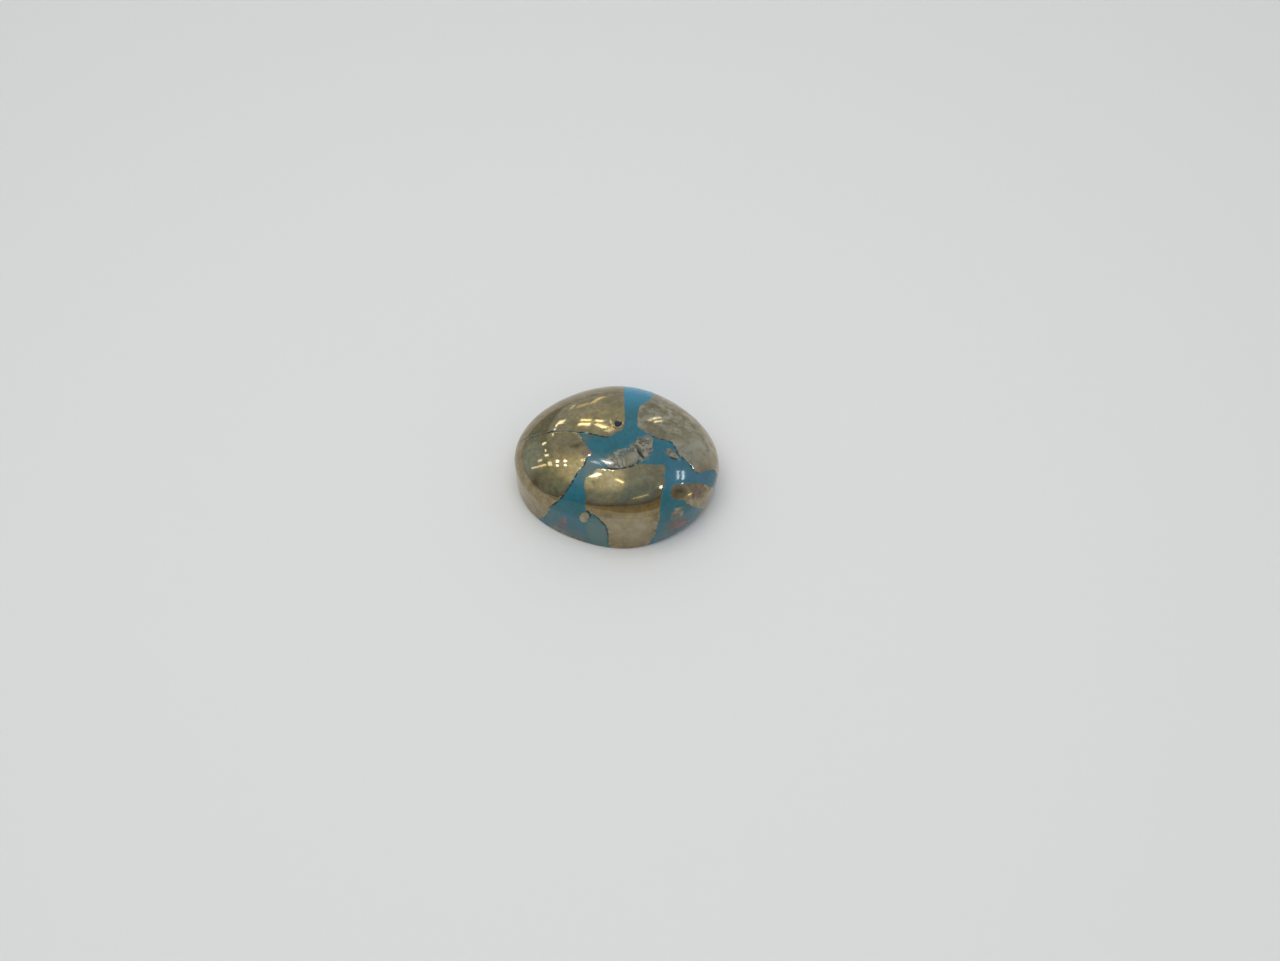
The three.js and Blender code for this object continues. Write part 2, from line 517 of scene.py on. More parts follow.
def outer_borders(outlines):
    """The points of every outline, without those that lie inside another one."""
    kept = []
    for name, outline in outlines.items():
        covered = np.zeros(len(outline), bool)
        for other_name, other in outlines.items():
            if other_name != name:
                covered |= inside(outline, other)
        kept.append(outline[~covered])
    return np.concatenate(kept)


def nearest(curve, positions):
    """Distance from each surface position to a plane curve, and how far along the curve it is."""
    on_skin = skin(*from_plane(curve))
    tree = KDTree(len(on_skin))
    for index, point in enumerate(on_skin):
        tree.insert(point, index)
    tree.balance()
    found = [tree.find(position)[1:] for position in positions]
    index, distance = np.array(found).reshape(-1, 2).T
    return distance, index / (len(on_skin) - 1)


class Surface:
    """The stone's vertices, and their distances from what is drawn on the stone."""

    def __init__(self):
        self.bearing, self.station = skin_places()
        self.faces = skin_faces(len(ring_stations()))
        self.positions = skin(self.bearing, self.station)
        self.plane = to_plane(self.bearing, self.station)
        self.tree = BVHTree.FromPolygons(self.positions.tolist(), self.faces)

    def mineral(self, patches, reach=0.8):
        """Signed distance to the patches' borders, above 0 inside, and the haze of each vertex."""
        outlines = {name: outline_of(self.tree, patch) for name, patch in patches.items()}
        sign = np.full(len(self.positions), -1.0)
        haze = np.zeros(len(self.positions))
        for name, outline in outlines.items():
            within = inside(self.plane, outline)
            sign[within] = 1
            haze[within] = patches[name].get("haze", 0)
        distance = nearest(outer_borders(outlines), self.positions)[0]
        return sign * np.minimum(distance, reach), haze

    def cracks(self, lines, most=5):
        """Distance to the nearest crack, as a multiple of its half-width there."""
        result = np.full(len(self.positions), float(most))
        for half_width, line in lines.values():
            curve = smooth_curve(plane_points(self.tree, line), closed=False)
            on_skin = skin(*from_plane(curve))
            low = on_skin.min(axis=0) - most * half_width
            high = on_skin.max(axis=0) + most * half_width
            near = np.all((self.positions > low) & (self.positions < high), axis=1)
            distance, share = nearest(curve, self.positions[near])
            swell = np.sqrt(np.sin(math.pi * share))
            width = half_width * (CRACK_END_WIDTH + (1 - CRACK_END_WIDTH) * swell)
            result[near] = np.minimum(result[near], distance / width)
        return result

    def from_spot(self, pixel):
        """Millimetres from each vertex to the surface point at a pixel."""
        centre = np.array(seen_at(self.tree, pixel))
        return np.linalg.norm(self.positions - centre, axis=1)

    def tones(self, spots):
        tone = np.zeros(len(self.positions))
        for pixel, reach, strength in spots:
            tone += strength * np.exp(-(self.from_spot(pixel) / reach) ** 2)
        return tone


def smoothstep(low, high, value):
    share = np.clip((value - low) / (high - low), 0, 1)
    return share * share * (3 - 2 * share)


def polish_waves(positions):
    """Slow unevenness left by hand polishing, between about -1 and 1."""
    height = np.zeros(len(positions))
    for share, first, second in POLISH_WAVES:
        waves = [np.sin(positions @ wave[:3] + wave[3]) for wave in (first, second)]
        height += share * waves[0] * waves[1]
    return height


def relief(surface, pyrite, crack, pit):
    """Height of the real surface over the smooth form, in millimetres."""
    height = PYRITE_STEP * smoothstep(*PYRITE_STEP_SPAN, pyrite)
    height -= CRACK_DEPTH * (1 - smoothstep(0.0, CRACK_FLOOR, crack))
    height += POLISH_HEIGHT * polish_waves(surface.positions)
    height -= PIT["depth"] * (1 - smoothstep(*PIT_WALL, pit))
    height += PIT["rim"] * np.exp(-((pit - PIT_RIM_PLACE) / PIT_RIM_SPREAD) ** 2)
    return np.where(surface.station < 2, height, 0)


def pit_distance(surface):
    """Distance from the middle of the pit as a share of its radius, which wanders a little."""
    centre = seen_at(surface.tree, PIT["pixel"])
    turn = np.arctan2(surface.positions[:, 1] - centre.y, surface.positions[:, 0] - centre.x)
    wander = np.ones(len(turn))
    for count, strength, phase in PIT_WAVES:
        wander += strength * np.sin(count * turn + phase)
    return surface.from_spot(PIT["pixel"]) / (PIT["radius"] * wander)


def add_attribute(mesh, name, values):
    attribute = mesh.attributes.new(name, "FLOAT", "POINT")
    attribute.data.foreach_set("value", np.asarray(values, np.float32))


def pink_distance(surface):
    distance = surface.mineral(PINK_MATRIX)[0]
    for pixel, radius in PINK_SPOTS:
        distance = np.maximum(distance, radius - surface.from_spot(pixel))
    return distance


def stone_mesh(surface, height):
    """The surface as a mesh in metres, raised by a height in millimetres at every vertex."""
    mesh = bpy.data.meshes.new("stone_surface")
    mesh.from_pydata(surface.positions.tolist(), [], surface.faces)
    normals = np.zeros(len(surface.positions) * 3)
    mesh.vertex_normals.foreach_get("vector", normals)
    moved = surface.positions + normals.reshape(-1, 3) * height[:, None]
    mesh.vertices.foreach_set("co", (moved * MM).ravel())
    mesh.polygons.foreach_set("use_smooth", [True] * len(mesh.polygons))
    return mesh


def build_stone():
    surface = Surface()
    pyrite, haze = surface.mineral(PYRITE)
    crack = surface.cracks(CRACKS)
    pit = pit_distance(surface)
    mesh = stone_mesh(surface, relief(surface, pyrite, crack, pit))
    attributes = {
        "pyrite": pyrite,
        "haze": haze,
        "grey": surface.mineral(GREY_MATRIX)[0],
        "pink": pink_distance(surface),
        "pale": surface.mineral(PALE_TURQUOISE)[0],
        "crack": crack,
        # Painted shade: the pit's floor is painted dark navy
        "pit": 1 - smoothstep(*PIT_SHADE_SPAN, pit),
        "tone": surface.tones(PYRITE_TONES),
        "turquoise_tone": surface.tones(TURQUOISE_TONES),
        "back": smoothstep(*LAPPED_BACK, surface.station),
    }
    for name, values in attributes.items():
        add_attribute(mesh, name, values)
    mesh.update()
    stone = bpy.data.objects.new("stone_polished", mesh)
    bpy.context.scene.collection.objects.link(stone)
    return stone, surface


# Materials

class Shader:
    """Short names for the nodes of one node tree."""

    def __init__(self, tree):
        self.tree = tree
        self.tree.nodes.clear()

    def add(self, kind, **settings):
        node = self.tree.nodes.new(kind)
        for name, value in settings.items():
            setattr(node, name, value)
        return node

    def put(self, socket, value):
        if isinstance(value, bpy.types.NodeSocket):
            self.tree.links.new(value, socket)
        else:
            socket.default_value = value

    def math(self, operation, *values, clamp=False):
        node = self.add("ShaderNodeMath", operation=operation, use_clamp=clamp)
        for socket, value in zip(node.inputs, values):
            self.put(socket, value)
        return node.outputs[0]

    def attribute(self, name):
        return self.add("ShaderNodeAttribute", attribute_name=name).outputs["Fac"]

    def position(self):
        return self.add("ShaderNodeTexCoord").outputs["Object"]

    def cells(self, scale):
        """A random number for each of a pattern of irregular grains."""
        node = self.add("ShaderNodeTexVoronoi", feature="F1")
        self.put(node.inputs["Vector"], self.position())
        node.inputs["Scale"].default_value = scale
        channels = self.add("ShaderNodeSeparateColor")
        self.put(channels.inputs[0], node.outputs["Color"])
        return channels.outputs[0]

    def noise(self, scale, detail=2.0, roughness=0.5, distortion=0.0):
        node = self.add("ShaderNodeTexNoise")
        self.put(node.inputs["Vector"], self.position())
        node.inputs["Scale"].default_value = scale
        node.inputs["Detail"].default_value = detail
        node.inputs["Roughness"].default_value = roughness
        node.inputs["Distortion"].default_value = distortion
        return node.outputs["Fac"]

    def cover(self, under, over, scale, low, high, share=1.0, **noise):
        """A colour with patches of another over it, where a noise rises from low to high."""
        patches = self.between(self.noise(scale, **noise), low, high, 0.0, share)
        return self.mix(patches, under, over)

    def between(self, value, low, high, start=0.0, end=1.0):
        """Smoothly from start to end as the value goes from low to high."""
        node = self.add("ShaderNodeMapRange", interpolation_type="SMOOTHSTEP")
        self.put(node.inputs["Value"], value)
        node.inputs["From Min"].default_value = low
        node.inputs["From Max"].default_value = high
        node.inputs["To Min"].default_value = start
        node.inputs["To Max"].default_value = end
        return node.outputs["Result"]

    def mix(self, share, a, b):
        """Colour a where the share is 0 and colour b where it is 1."""
        node = self.add("ShaderNodeMix", data_type="RGBA")
        self.put(node.inputs["Factor"], share)
        colours = [socket for socket in node.inputs if socket.type == "RGBA"]
        self.put(colours[0], a)
        self.put(colours[1], b)
        return next(socket for socket in node.outputs if socket.type == "RGBA")

    def blend(self, share, a, b):
        """Number a where the share is 0 and number b where it is 1."""
        node = self.add("ShaderNodeMix", data_type="FLOAT")
        numbers = [socket for socket in node.inputs if socket.type == "VALUE"]
        self.put(numbers[0], share)
        self.put(numbers[1], a)
        self.put(numbers[2], b)
        return next(socket for socket in node.outputs if socket.type == "VALUE")


def colour(red, green, blue):
    return (red, green, blue, 1.0)


PYRITE_BRASS = colour(0.360, 0.300, 0.185)
PYRITE_DARK = colour(0.270, 0.220, 0.125)
PYRITE_STAIN_AND_SHADE = colour(0.125, 0.108, 0.060)
PYRITE_GOLD = colour(0.500, 0.380, 0.170)
PYRITE_RUST = colour(0.255, 0.175, 0.105)
PYRITE_GREY = colour(0.285, 0.245, 0.165)
PYRITE_PALE = colour(0.450, 0.412, 0.315)
TURQUOISE = colour(0.011, 0.098, 0.127)
TURQUOISE_BLUE = colour(0.012, 0.118, 0.172)
TURQUOISE_GREEN = colour(0.012, 0.097, 0.103)
TURQUOISE_LIGHT = colour(0.009, 0.225, 0.380)
TURQUOISE_GREY = colour(0.110, 0.140, 0.140)
TURQUOISE_STEEL = colour(0.044, 0.136, 0.203)
PALE_GREEN = colour(0.068, 0.148, 0.140)
MATRIX_DARK = colour(0.032, 0.040, 0.034)
MATRIX_BLUE = colour(0.080, 0.118, 0.112)
MATRIX_GREY = colour(0.175, 0.155, 0.112)
MATRIX_PALE = colour(0.300, 0.275, 0.210)
MATRIX_PINK = colour(0.205, 0.098, 0.092)
MATRIX_BROWN = colour(0.085, 0.072, 0.052)
CRACK_DARK = colour(0.014, 0.014, 0.011)
PIT_SHADE_NAVY = colour(0.012, 0.016, 0.050)
PAPER_WHITE = colour(0.790, 0.765, 0.770)

# Each mineral's border: the span over which noise shifts it and half the width over which it fades,
# both in millimetres, and the scale of that noise
BORDERS = {
    "pyrite": (0.55, 0.025, 1900),
    "grey": (1.3, 0.14, 1700),
    "pink": (1.6, 0.3, 2200),
    "pale": (0.5, 0.2, 2000),
}

# The turquoise grows lighter to the rear between these places along Y
LIGHTER_REAR = (1.5 * MM, 7.0 * MM)

# Polish: roughness of each mineral, which in the pyrite differs from grain to grain, and a faint
# orange-peel bump
PYRITE_GRAIN_SCALE = 1900
PYRITE_ROUGHNESS = (0.05, 0.09)
TURQUOISE_ROUGHNESS = 0.09
MATRIX_ROUGHNESS = 0.11
CRACK_ROUGHNESS = 0.7
BACK_ROUGHNESS = 0.5
STONE_IOR = 1.56
BUMP_STRENGTH = 0.035
BUMP_DISTANCE = 0.02 * MM
BUMP_SCALE = 7000
PAPER_ROUGHNESS = 0.9
PAPER_SPECULAR = 0.1


def border(shader, name):
    """A mineral's share at a point, with its traced border made ragged by noise."""
    ragged, width, scale = BORDERS[name]
    noise = shader.noise(scale, detail=3.0, roughness=0.6)
    shift = shader.math("MULTIPLY", shader.math("SUBTRACT", noise, 0.5), ragged)
    distance = shader.math("ADD", shader.attribute(name), shift)
    return shader.between(distance, -width, width)


def turquoise_colour(shader):
    axes = shader.add("ShaderNodeSeparateXYZ")
    shader.put(axes.inputs[0], shader.position())
    rear = shader.between(axes.outputs["Y"], *LIGHTER_REAR)
    blue = shader.cover(TURQUOISE, TURQUOISE_BLUE, 330, 0.42, 0.62, detail=4.0)
    blue = shader.cover(blue, TURQUOISE_GREEN, 210, 0.45, 0.62, 0.8, detail=3.0, distortion=0.5)
    blue = shader.mix(rear, blue, TURQUOISE_LIGHT)
    blue = shader.cover(blue, TURQUOISE_LIGHT, 2600, 0.35, 0.75, 0.22, detail=4.0)
    patchy = shader.between(shader.noise(900), 0.3, 0.6, 0.6, 1.0)
    tone = shader.math("MULTIPLY", shader.attribute("turquoise_tone"), patchy)
    blue = shader.mix(shader.math("MULTIPLY", tone, 1.0, clamp=True), blue, TURQUOISE_STEEL)
    # Grey spots; the one beside the summit is a painted reflection, a sheen round its highlight
    blue = shader.mix(shader.math("MULTIPLY", tone, -1.0, clamp=True), blue, TURQUOISE_GREY)
    return shader.cover(blue, MATRIX_DARK, 1500, 0.68, 0.78, 0.5, detail=3.0)


def matrix_colour(shader):
    matrix = shader.cover(MATRIX_BROWN, MATRIX_GREY, 900, 0.38, 0.6, detail=5.0)
    matrix = shader.cover(matrix, MATRIX_BLUE, 430, 0.52, 0.64, 0.6, detail=3.0)
    grains = shader.math("MULTIPLY", shader.cells(4200), shader.noise(1100, detail=3.0))
    matrix = shader.mix(shader.between(grains, 0.2, 0.5, 0.0, 0.75), matrix, MATRIX_PALE)
    return shader.cover(matrix, MATRIX_DARK, 2300, 0.56, 0.68, 0.75, detail=4.0)


def pyrite_colour(shader, haze):
    brass = shader.cover(PYRITE_DARK, PYRITE_BRASS, 1300, 0.34, 0.66, detail=5.0, roughness=0.6)
    dull = shader.cover(PYRITE_GREY, PYRITE_PALE, 1000, 0.42, 0.62, detail=5.0)
    metal = shader.mix(haze, brass, dull)
    bright_grains = shader.between(shader.cells(PYRITE_GRAIN_SCALE), 0.55, 1.0, 0.0, 0.3)
    metal = shader.mix(bright_grains, metal, PYRITE_GOLD)
    dark_grains = shader.between(shader.cells(3300), 0.5, 1.0, 0.0, 0.25)
    metal = shader.mix(dark_grains, metal, PYRITE_DARK)
    metal = shader.cover(metal, PYRITE_RUST, 3000, 0.45, 0.68, 0.6, detail=5.0, roughness=0.7)
    tone = shader.attribute("tone")
    patchy = shader.between(shader.noise(1500, detail=5.0), 0.36, 0.62, 0.3, 1.5)
    bleach = shader.math("MULTIPLY", tone, patchy, clamp=True)
    metal = shader.mix(bleach, metal, PYRITE_PALE)
    ragged = shader.between(shader.noise(1900, detail=4.0), 0.3, 0.7, -0.2, 0.3)
    # Stains, and one dark spot of painted shade in a small pit
    stain_and_shade = shader.math("MULTIPLY", shader.math("ADD", tone, ragged), -1.0, clamp=True)
    return shader.mix(stain_and_shade, metal, PYRITE_STAIN_AND_SHADE)


def crack_share(shader):
    """Full in a crack's floor and in the pit, where shade is painted dark; patchy along cracks,
    else none.
    """
    wander = shader.between(shader.noise(2600, detail=3.0), 0.3, 0.7, -0.7, 0.7)
    distance = shader.math("ADD", shader.attribute("crack"), wander)
    line = shader.between(distance, 0.5, 1.2, 1.0, 0.0)
    gaps = shader.between(shader.noise(1700, detail=2.0), 0.3, 0.5, 0.55, 1.0)
    return shader.math("MAXIMUM", shader.math("MULTIPLY", line, gaps), shader.attribute("pit"))


def stone_colour(shader, shares, crack):
    body = shader.mix(shares["pale"], turquoise_colour(shader), PALE_GREEN)
    body = shader.mix(shares["grey"], body, matrix_colour(shader))
    pyrite = pyrite_colour(shader, shader.attribute("haze"))
    rust = shader.cover(MATRIX_BROWN, MATRIX_PINK, 1700, 0.42, 0.6, detail=4.0)
    surface = shader.mix(shares["pyrite"], body, pyrite)
    surface = shader.mix(shares["pink"], surface, rust)
    surface = shader.mix(crack, surface, CRACK_DARK)
    # Painted shade: the pit's floor is painted dark navy
    return shader.mix(shader.attribute("pit"), surface, PIT_SHADE_NAVY)


def stone_roughness(shader, shares, metal, crack):
    grains = shader.between(shader.cells(PYRITE_GRAIN_SCALE), 0.0, 1.0, *PYRITE_ROUGHNESS)
    body = shader.blend(shares["grey"], TURQUOISE_ROUGHNESS, MATRIX_ROUGHNESS)
    roughness = shader.blend(metal, body, grains)
    roughness = shader.blend(crack, roughness, CRACK_ROUGHNESS)
    return shader.blend(shader.attribute("back"), roughness, BACK_ROUGHNESS)


def polish_bump(shader):
    bump = shader.add("ShaderNodeBump")
    bump.inputs["Strength"].default_value = BUMP_STRENGTH
    bump.inputs["Distance"].default_value = BUMP_DISTANCE
    shader.put(bump.inputs["Height"], shader.noise(BUMP_SCALE, detail=3.0))
    return bump.outputs["Normal"]


def stone_material():
    material = bpy.data.materials.new("polished_stone")
    material.use_nodes = True
    shader = Shader(material.node_tree)

    shares = {name: border(shader, name) for name in BORDERS}
    crack = crack_share(shader)
    not_pink = shader.math("SUBTRACT", 1.0, shares["pink"])
    metal = shader.math("MULTIPLY", shares["pyrite"], not_pink)
    not_cracked = shader.math("SUBTRACT", 1.0, crack)
    metallic = shader.math("MULTIPLY", metal, not_cracked)

    principled = shader.add("ShaderNodeBsdfPrincipled")
    shader.put(principled.inputs["Base Color"], stone_colour(shader, shares, crack))
    shader.put(principled.inputs["Roughness"], stone_roughness(shader, shares, metal, crack))
    shader.put(principled.inputs["Metallic"], metallic)
    shader.put(principled.inputs["Normal"], polish_bump(shader))
    principled.inputs["IOR"].default_value = STONE_IOR
    output = shader.add("ShaderNodeOutputMaterial")
    shader.put(output.inputs["Surface"], principled.outputs["BSDF"])
    return material


def paper_material():
    material = bpy.data.materials.new("paper")
    material.use_nodes = True
    shader = Shader(material.node_tree)
    principled = shader.add("ShaderNodeBsdfPrincipled")
    principled.inputs["Base Color"].default_value = PAPER_WHITE
    principled.inputs["Roughness"].default_value = PAPER_ROUGHNESS
    principled.inputs["Specular IOR Level"].default_value = PAPER_SPECULAR
    output = shader.add("ShaderNodeOutputMaterial")
    shader.put(output.inputs["Surface"], principled.outputs["BSDF"])
    return material


# Surroundings

# Sizes in metres
FLOOR_SIZE = 60.0
LAMP_DISTANCE = 2.0
CLIP_START = 0.005
CLIP_END = 50.0

# Pixels either side over which a lamp's mirrored size is measured
MIRROR_STEP = 2.0

# Lamps, each given by the two ends and the thickness, in pixels, of its mirror image in the stone,
# and by its radiance and its tint
WHITE = (1.0, 0.98, 0.92)
YELLOW = (1.0, 0.92, 0.68)
WARM = (1.0, 0.80, 0.42)
COOL = (0.85, 0.95, 1.0)
LAMPS = {
    "seam upper dot": ((556.5, 425), (556, 427.4), 1.2, 5, WHITE),
    "seam middle dot": ((554.7, 428.8), (554.3, 431), 1.2, 5, WHITE),
    "seam lower dot": ((553.2, 432.5), (553, 435.5), 1.0, 4, WHITE),
    "rear left blob": ((557.5, 423.6), (564.5, 421.8), 3.0, 3.2, WHITE),
    "rear left upper bar": ((580.5, 419.6), (590.5, 419.8), 2.0, 4.2, WARM),
    "rear left lower bar": ((578, 424), (589.5, 424.2), 2.4, 5.5, YELLOW),
    "rear upper arc": ((596.5, 419.8), (604, 421.4), 2.2, 5.0, YELLOW),
    "rear lower arc": ((596.5, 424), (606.5, 427.4), 2.6, 4.8, YELLOW),
    "rear warm streak": ((591, 403.2), (604, 396.2), 2.2, 1.3, WARM),
    "rear warm band": ((577, 406.8), (586, 404.5), 2.4, 0.8, WARM),
    "rear pale spot": ((571, 409), (574, 405), 2.6, 0.7, WHITE),
    "rear low glow": ((606, 431.5), (614, 427.5), 3.6, 1.4, YELLOW),
    "rear right upper arc": ((648.5, 421.0), (660.8, 416.4), 1.2, 3.3, YELLOW),
    "rear right lower arc": ((654.5, 422.6), (662.8, 420.6), 0.9, 3.4, WARM),
    "left high dot": ((542.5, 444.9), (546.8, 442.6), 1.8, 4.0, COOL),
    "left second dot": ((545.7, 449.6), (546.1, 451.8), 1.5, 3.6, COOL),
    "left third dot": ((545.0, 456.2), (549.0, 454.9), 1.8, 4.6, COOL),
    "left low dot": ((538.0, 461.6), (542.0, 460.3), 1.4, 2.6, WHITE),
    "left row far": ((531.5, 468.6), (538.5, 466.7), 1.3, 1.9, YELLOW),
    "left row": ((539.5, 466.5), (546, 464.6), 1.3, 3.0, YELLOW),
    "left row near": ((548.3, 463.9), (552.0, 463.7), 3.6, 2.4, WHITE),
    "left row upper dot": ((555.6, 461.4), (557.9, 461.4), 2.1, 8.5, COOL),
    "left row lower dot": ((555.6, 465.5), (557.9, 465.5), 1.9, 6.5, COOL),
    "left row upper end": ((563.2, 460.9), (565.9, 460.9), 2.3, 9.0, COOL),
    "left row lower end": ((563.6, 465.3), (566.2, 465.3), 2.1, 6.5, COOL),
    "left edge glow": ((583, 458.5), (582.5, 462), 1.6, 3.2, WHITE),
    "summit left": ((594, 462.3), (597, 462.1), 1.2, 34.0, WHITE),
    "summit": ((605.4, 461.7), (609.6, 461.4), 2.2, 66.0, WHITE),
    "middle left": ((590.5, 477.5), (598.5, 473.6), 3.0, 6.5, COOL),
    "middle": ((615.5, 479), (623.5, 483), 2.0, 4.0, YELLOW),
    "middle glint": ((633, 499.2), (648, 494.6), 0.9, 1.4, WARM),
    "right patch glint": ((688, 494.8), (691.5, 493.6), 1.2, 3.0, WARM),
    "right": ((660.2, 487.2), (663.2, 486.8), 2.6, 11.5, COOL),
    "right turquoise left bar": ((678.2, 471.2), (677.7, 479.6), 1.9, 14.0, COOL),
    "right turquoise right bar": ((683.6, 471.2), (682.8, 479.9), 2.4, 13.0, COOL),
}

# The room's colours, by share of the way from the horizon to the zenith, in four directions
REAR_ROOM = (
    (0.0, (0.58, 0.63, 0.66)),
    (0.2, (0.60, 0.66, 0.69)),
    (0.35, (0.54, 0.59, 0.62)),
    (0.7, (0.52, 0.58, 0.62)),
    (1.0, (0.54, 0.62, 0.65)),
)
RIGHT_ROOM = (
    (0.0, (0.50, 0.49, 0.48)),
    (0.3, (0.48, 0.50, 0.53)),
    (0.7, (0.43, 0.50, 0.56)),
    (1.0, (0.54, 0.62, 0.65)),
)
LEFT_WALL = (
    (0.0, (0.36, 0.39, 0.38)),
    (0.3, (0.35, 0.39, 0.38)),
    (0.45, (0.46, 0.53, 0.48)),
    (0.6, (0.45, 0.52, 0.47)),
    (1.0, (0.54, 0.62, 0.65)),
)
NEAR_TABLE = (
    (0.0, (0.62, 0.61, 0.54)),
    (0.19, (0.60, 0.58, 0.50)),
    (0.21, (0.43, 0.38, 0.26)),
    (0.36, (0.34, 0.29, 0.20)),
    (1.0, (0.27, 0.24, 0.18)),
)
# Above the table's edge, counted from that edge
NEAR_WALL = (
    (0.0, (0.13, 0.13, 0.15)),
    (0.025, (0.20, 0.21, 0.24)),
    (0.07, (0.26, 0.29, 0.33)),
    (0.16, (0.28, 0.37, 0.43)),
    (0.31, (0.31, 0.41, 0.48)),
    (0.44, (0.54, 0.62, 0.64)),
    (1.0, (0.54, 0.62, 0.65)),
)

# The lit ceiling ends along the great circle square to this direction, where the left wall begins
CEILING_SIDE = (0.770, 0.274, 0.576)

# Where one part of the room gives way to another: to the right and near sides by the level part of
# the direction, past the ceiling's end by its closeness to that side, over the near table's edge by
# height, and to the left half by the direction's X
RIGHT_ROOM_SPAN = (0.6, 1.0)
NEAR_SIDE_SPAN = (-0.3, -0.8)
CEILING_END_SPAN = (0.055, 0.02)
TABLE_EDGE_SPAN = (-0.004, 0.004)
NEAR_GLOW_SPAN = (0.01, 0.07)
LEFT_HALF_SPAN = (0.04, -0.10)

# The near table's edge: its height straight ahead, its climb to the right and its drop on the left
TABLE_EDGE_HEIGHT = 0.397
TABLE_EDGE_CLIMB = 0.10
TABLE_EDGE_DROP = 0.35

# Keeps the level part of an upright direction from being 0
LEAST_LEVEL = 0.001

# Broad glows: azimuth, height and spread in degrees, share and colour
LEFT_GLOW = (-68, 18, 27, 0.85, (0.56, 0.72, 0.82))
GOLD_GLOW = (-80, 62, 23, 0.5, (1.15, 1.12, 0.84))
REAR_GLOW = (-10, 38, 20, 0.35, (1.00, 1.05, 0.85))
NEAR_GLOW = (-150, 47, 17, 0.5, (0.52, 0.55, 0.44))
CEILING_GLOW = (-110, 74, 30, 0.78, (1.30, 1.30, 1.10))


def mirrored(tree, pixel):
    """The direction that the smooth form mirrors at a pixel."""
    normal = skin_normal(seen_at(tree, pixel))
    ray = pixel_ray(pixel)
    return (ray - 2 * ray.dot(normal) * normal).normalized()


def place_lamps(tree):
    """Sets each lamp where the smooth form mirrors it to the camera at its pixels."""
    for name, (start, end, thickness, radiance, tint) in LAMPS.items():
        start = Vector(start)
        end = Vector(end)
        halfway = (start + end) / 2
        sideways = (end - start).orthogonal().normalized() * MIRROR_STEP
        lengthways = (end - start).normalized() * MIRROR_STEP
        centre = mirrored(tree, halfway)
        along = mirrored(tree, halfway + lengthways) - mirrored(tree, halfway - lengthways)
        across = mirrored(tree, halfway + sideways) - mirrored(tree, halfway - sideways)
        long_side = (along - centre * along.dot(centre)).normalized()
        short_side = centre.cross(long_side)
        reach = LAMP_DISTANCE / (2 * MIRROR_STEP)
        lamp = bpy.data.lights.new(name, "AREA")
        lamp.shape = "RECTANGLE"
        lamp.size = along.length * reach * (end - start).length
        lamp.size_y = abs(across.dot(short_side)) * reach * thickness
        lamp.energy = radiance * math.pi * lamp.size * lamp.size_y
        lamp.color = tint
        holder = bpy.data.objects.new(name, lamp)
        basis = Matrix((long_side, short_side, centre)).transposed().to_4x4()
        place = seen_at(tree, halfway) * MM + centre * LAMP_DISTANCE
        holder.matrix_world = Matrix.Translation(place) @ basis
        holder.visible_diffuse = False
        bpy.context.scene.collection.objects.link(holder)


def add_world():
    """The room that the pyrite mirrors."""
    world = bpy.data.worlds.new("room")
    bpy.context.scene.world = world
    world.use_nodes = True
    shader = Shader(world.node_tree)
    background = shader.add("ShaderNodeBackground")
    shader.put(background.inputs["Color"], room_colour(shader))
    background.inputs["Strength"].default_value = 1.0
    output = shader.add("ShaderNodeOutputWorld")
    shader.put(output.inputs["Surface"], background.outputs["Background"])


def room_colour(shader):
    """A colour for each direction."""
    direction = shader.add("ShaderNodeTexCoord").outputs["Generated"]
    axes = shader.add("ShaderNodeSeparateXYZ")
    shader.put(axes.inputs[0], direction)
    x, y, z = axes.outputs
    elevation = shader.math("DIVIDE", shader.math("ARCSINE", z), QUARTER_TURN)
    squared = shader.math("SUBTRACT", 1.0, shader.math("MULTIPLY", z, z))
    level = shader.math("SQRT", shader.math("MAXIMUM", squared, LEAST_LEVEL))
    farness = shader.math("DIVIDE", y, level)
    rightness = shader.math("DIVIDE", x, level)
    over_table = shader.math("SUBTRACT", elevation, table_edge(shader, x))

    room = ramp(shader, elevation, REAR_ROOM)
    right_share = shader.between(rightness, *RIGHT_ROOM_SPAN)
    room = shader.mix(right_share, room, ramp(shader, elevation, RIGHT_ROOM))
    room = with_glow(shader, room, direction, REAR_GLOW)
    past_ceiling = shader.between(dot(shader, direction, CEILING_SIDE), *CEILING_END_SPAN)
    room = shader.mix(past_ceiling, room, ramp(shader, elevation, LEFT_WALL))
    room = with_glow(shader, room, direction, LEFT_GLOW)
    near_share = shader.between(farness, *NEAR_SIDE_SPAN)
    room = shader.mix(near_share, room, near_side(shader, elevation, over_table))
    room = with_glow(shader, room, direction, GOLD_GLOW)
    above_table = shader.between(over_table, *NEAR_GLOW_SPAN)
    room = with_glow(shader, room, direction, NEAR_GLOW, above_table)
    left_half = shader.between(x, *LEFT_HALF_SPAN)
    return with_glow(shader, room, direction, CEILING_GLOW, left_half)


def near_side(shader, elevation, over_table):
    """The near table, and the wall that is seen over its edge."""
    table = ramp(shader, elevation, NEAR_TABLE)
    wall = ramp(shader, over_table, NEAR_WALL)
    return shader.mix(shader.between(over_table, *TABLE_EDGE_SPAN), table, wall)


def table_edge(shader, x):
    """Height of the near table's edge, which climbs to the right and drops away on the left."""
    left = shader.math("MINIMUM", x, 0.0)
    drop = shader.math("MULTIPLY", shader.math("MULTIPLY", left, left), TABLE_EDGE_DROP)
    climb = shader.math("MULTIPLY", x, TABLE_EDGE_CLIMB)
    slope = shader.math("ADD", climb, TABLE_EDGE_HEIGHT)
    return shader.math("SUBTRACT", slope, drop)


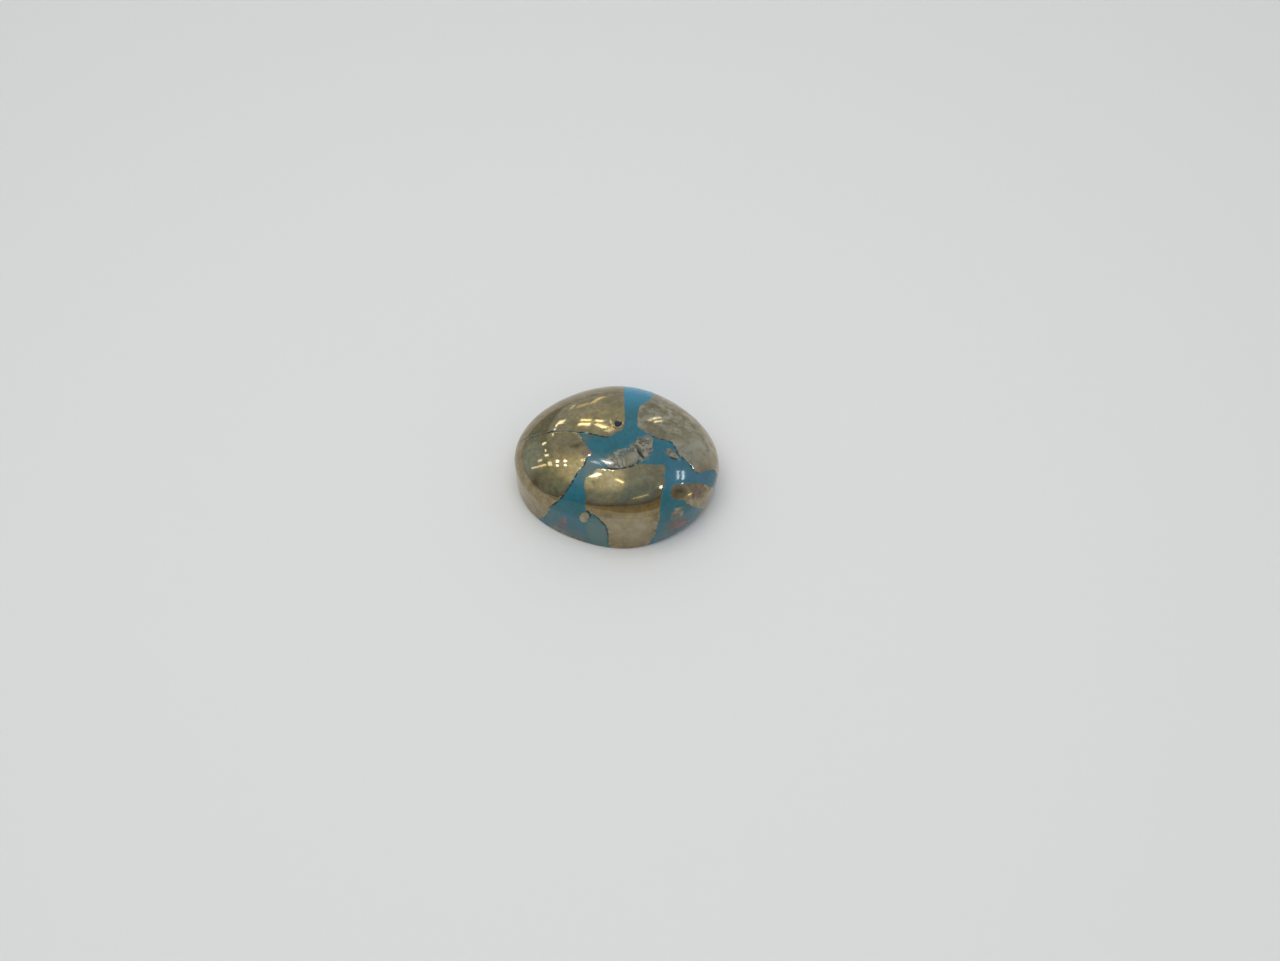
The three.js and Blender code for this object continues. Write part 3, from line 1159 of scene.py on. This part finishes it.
def with_glow(shader, room, direction, glow, within=1.0):
    """The room with a broad glow, which fades to nothing at its spread and keeps within a share."""
    azimuth, height, spread, share, tint = glow
    azimuth = math.radians(azimuth)
    height = math.radians(height)
    level = math.cos(height)
    centre = (math.sin(azimuth) * level, math.cos(azimuth) * level, math.sin(height))
    closeness = dot(shader, direction, centre)
    glowing = shader.between(closeness, math.cos(math.radians(spread)), 1.0, 0.0, share)
    return shader.mix(shader.math("MULTIPLY", within, glowing), room, colour(*tint))


def dot(shader, vector, other):
    node = shader.add("ShaderNodeVectorMath", operation="DOT_PRODUCT")
    shader.put(node.inputs[0], vector)
    node.inputs[1].default_value = other
    return node.outputs["Value"]


def ramp(shader, value, stops):
    node = shader.add("ShaderNodeValToRGB")
    shader.put(node.inputs["Fac"], value)
    elements = node.color_ramp.elements
    while len(elements) < len(stops):
        elements.new(1.0)
    for element, (position, shade) in zip(elements, stops):
        element.position = position
        element.color = colour(*shade)
    return node.outputs["Color"]


# Soft lights that even the paper and aren't themselves mirrored in the stone: place, size and watts
SOFT_LIGHTS = {
    "overhead": ((-0.01, 0.0, 0.2), 0.16, 0.115),
    "fill": ((0.05, -0.5, 0.75), 0.7, 1.1),
}


def add_soft_lights():
    for name, (place, size, watts) in SOFT_LIGHTS.items():
        light = bpy.data.lights.new(name, "AREA")
        light.size = size
        light.energy = watts
        holder = bpy.data.objects.new(name, light)
        holder.location = place
        holder.rotation_euler = (-Vector(place)).to_track_quat("-Z", "Y").to_euler()
        holder.visible_glossy = False
        bpy.context.scene.collection.objects.link(holder)


def add_paper():
    half = FLOOR_SIZE / 2
    mesh = bpy.data.meshes.new("paper")
    corners = [(-half, -half, 0), (half, -half, 0), (half, half, 0), (-half, half, 0)]
    mesh.from_pydata(corners, [], [(0, 1, 2, 3)])
    mesh.materials.append(paper_material())
    paper = bpy.data.objects.new("paper", mesh)
    bpy.context.scene.collection.objects.link(paper)


def add_camera():
    data = bpy.data.cameras.new("camera")
    data.angle_x = FIELD_OF_VIEW
    data.clip_start = CLIP_START
    data.clip_end = CLIP_END
    camera = bpy.data.objects.new("camera", data)
    camera.location = camera_place() * MM
    camera.rotation_euler = (QUARTER_TURN - CAMERA_ELEVATION, 0, 0)
    bpy.context.scene.collection.objects.link(camera)
    bpy.context.scene.camera = camera


def main():
    stone, surface = build_stone()
    stone.data.materials.append(stone_material())
    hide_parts("stone")
    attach(stone, "root")
    add_paper()
    add_world()
    add_soft_lights()
    place_lamps(surface.tree)
    add_camera()
    bpy.context.scene.view_settings.view_transform = "Standard"
    bpy.context.scene.view_settings.look = "None"


main()
